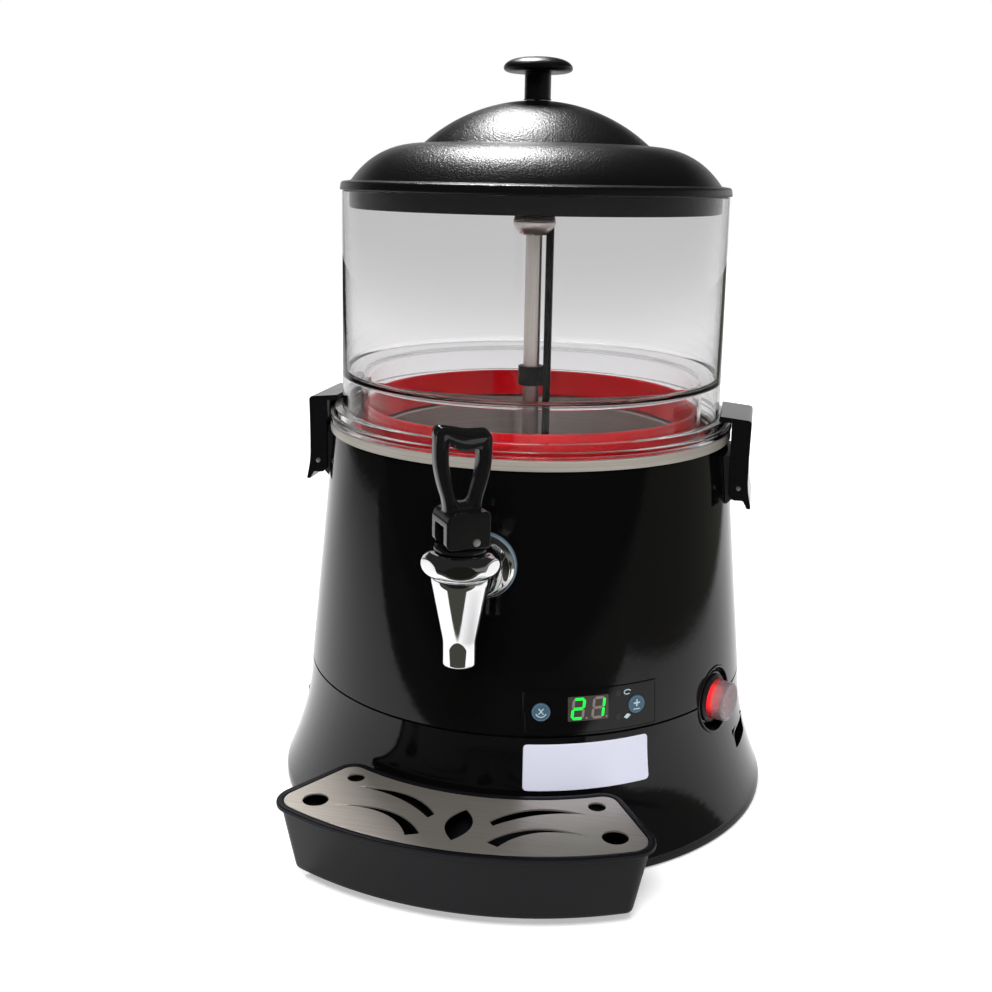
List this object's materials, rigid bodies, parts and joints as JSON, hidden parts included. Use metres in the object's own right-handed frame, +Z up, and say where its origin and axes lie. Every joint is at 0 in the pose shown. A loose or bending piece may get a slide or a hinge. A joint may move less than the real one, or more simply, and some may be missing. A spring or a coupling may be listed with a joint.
{
  "type": "hot chocolate dispenser",
  "caption": "Countertop hot drink dispenser with a clear bowl, a heated base, a stirring mixer, a lever tap, side clips, a key panel and a drip tray.",
  "frame": {"origin": "on the standing surface, under the middle of the whole machine's footprint; the bowl's axis is 28.75 mm behind it", "axes": "+Z up along the bowl's axis; the tap and the drip tray face -Y; +X to the right of someone standing behind the machine's tap side looking along +Y"},
  "size_m": [0.32, 0.3774, 0.4668],
  "materials": {
    "gloss_black": "mirror-like moulded gloss",
    "satin_black": "satin moulded plastic",
    "lid_black": "fine spark-eroded texture, low sheen",
    "tray_grey": "charcoal, satin, faintly metallic",
    "brushed_steel": "stainless, brushed",
    "chrome": "bright plated",
    "zinc": "zinc-plated steel",
    "clear": "clear polycarbonate",
    "boot_clear": "clear silicone",
    "gasket_red": "red silicone",
    "washer_grey": "blue-grey silicone",
    "rubber": "black rubber",
    "rocker_red": "red translucent, gloss",
    "key_blue": "blue-grey, semi-gloss",
    "display": "dark glossy window",
    "board_green": "green solder mask"
  },
  "bodies": {
    "machine": {"base_housing": "gloss_black", "upper_housing": "gloss_black", "base_plate": "zinc", "foot_1": "rubber", "foot_2": "rubber", "foot_3": "rubber", "foot_4": "rubber", "top_ring": "brushed_steel", "bath_pan": "brushed_steel", "heating_element": "zinc", "thermostat": "satin_black", "product_dish": "brushed_steel", "centre_tube": "brushed_steel", "bowl_gasket": "gasket_red", "bowl": "clear", "gear_motor": "zinc", "motor_bracket": "zinc", "clip_bracket_left": "satin_black", "clip_bracket_right": "satin_black", "clip_pin_left": "brushed_steel", "clip_pin_right": "brushed_steel", "tap_body": "chrome", "tap_washer": "washer_grey", "tap_escutcheon": "chrome", "tap_nut": "zinc", "outlet_seal": "rubber", "tap_bonnet": "chrome", "valve_spring": "brushed_steel", "panel_fascia": "gloss_black", "control_board": "board_green", "display_module": "display", "switch_bezel": "satin_black", "switch_body": "satin_black", "switch_boot": "boot_clear", "cable_gland": "satin_black", "gland_nut": "satin_black"},
    "lid": {"lid": "lid_black", "lid_knob": "lid_black", "knob_screw": "zinc"},
    "mixer": {"mixer_cap": "zinc", "mixer_frame": "satin_black", "drive_shaft": "brushed_steel"},
    "clip_left": {"clip_left": "gloss_black"},
    "clip_right": {"clip_right": "gloss_black"},
    "swivel": {"swivel_disc": "gloss_black"},
    "stem": {"valve_stem": "brushed_steel", "seat_cup": "rubber", "lever_pin": "brushed_steel"},
    "lever": {"tap_lever": "gloss_black"},
    "key_left": {"key_left": "key_blue"},
    "key_right": {"key_right": "key_blue"},
    "rocker": {"switch_rocker": "rocker_red"},
    "tray": {"drip_tray": "tray_grey"},
    "grid": {"tray_grid": "brushed_steel"}
  },
  "joints": [
    {"name": "lid_lift", "type": "slide", "parent": "machine", "child": "lid", "axis": [0, 0, 1], "range_m": [0, 0.06]},
    {"name": "mixer_spin", "type": "hinge", "parent": "machine", "child": "mixer", "pos_m": [0, 0.02875, 0.25], "axis": [0, 0, 1], "continuous": true},
    {"name": "clip_left_hinge", "type": "hinge", "parent": "machine", "child": "clip_left", "pos_m": [-0.137, 0.02875, 0.206], "axis": [0, -1, 0], "range_deg": [0, 20]},
    {"name": "clip_right_hinge", "type": "hinge", "parent": "machine", "child": "clip_right", "pos_m": [0.137, 0.02875, 0.206], "axis": [0, 1, 0], "range_deg": [0, 20]},
    {"name": "tap_swivel", "type": "hinge", "parent": "machine", "child": "swivel", "pos_m": [0, -0.16125, 0.2049], "axis": [0, 0, 1], "continuous": true},
    {"name": "stem_lift", "type": "slide", "parent": "swivel", "child": "stem", "axis": [0, 0, 1], "range_m": [0, 0.0068], "stiffness_N_per_m": 400, "springref_m": -0.004, "deforming": ["valve_spring"]},
    {"name": "lever_tilt", "type": "hinge", "parent": "stem", "child": "lever", "pos_m": [0.00323, -0.15907, 0.2102], "axis": [0.5592, -0.829, 0], "range_deg": [0, 35]},
    {"name": "key_left_press", "type": "slide", "parent": "machine", "child": "key_left", "axis": [-0.2489, 0.9685, 0], "range_m": [0, 0.0008], "stiffness_N_per_m": 300, "springref_m": -0.0005},
    {"name": "key_right_press", "type": "slide", "parent": "machine", "child": "key_right", "axis": [-0.6117, 0.7911, 0], "range_m": [0, 0.0008], "stiffness_N_per_m": 300, "springref_m": -0.0005},
    {"name": "rocker_switch", "type": "hinge", "parent": "machine", "child": "rocker", "pos_m": [0.12801, -0.02744, 0.0797], "axis": [-0.4019, -0.9157, 0], "range_deg": [0, 16]},
    {"name": "tray_slide", "type": "slide", "parent": "machine", "child": "tray", "axis": [0, -1, 0], "range_m": [0, 0.12]},
    {"name": "grid_lift", "type": "slide", "parent": "tray", "child": "grid", "axis": [0, 0, 1], "range_m": [0, 0.03]}
  ],
  "couplings": [
    {"joint": "lever_tilt", "follows": "stem_lift", "rad_per_m": 89.286}
  ]
}
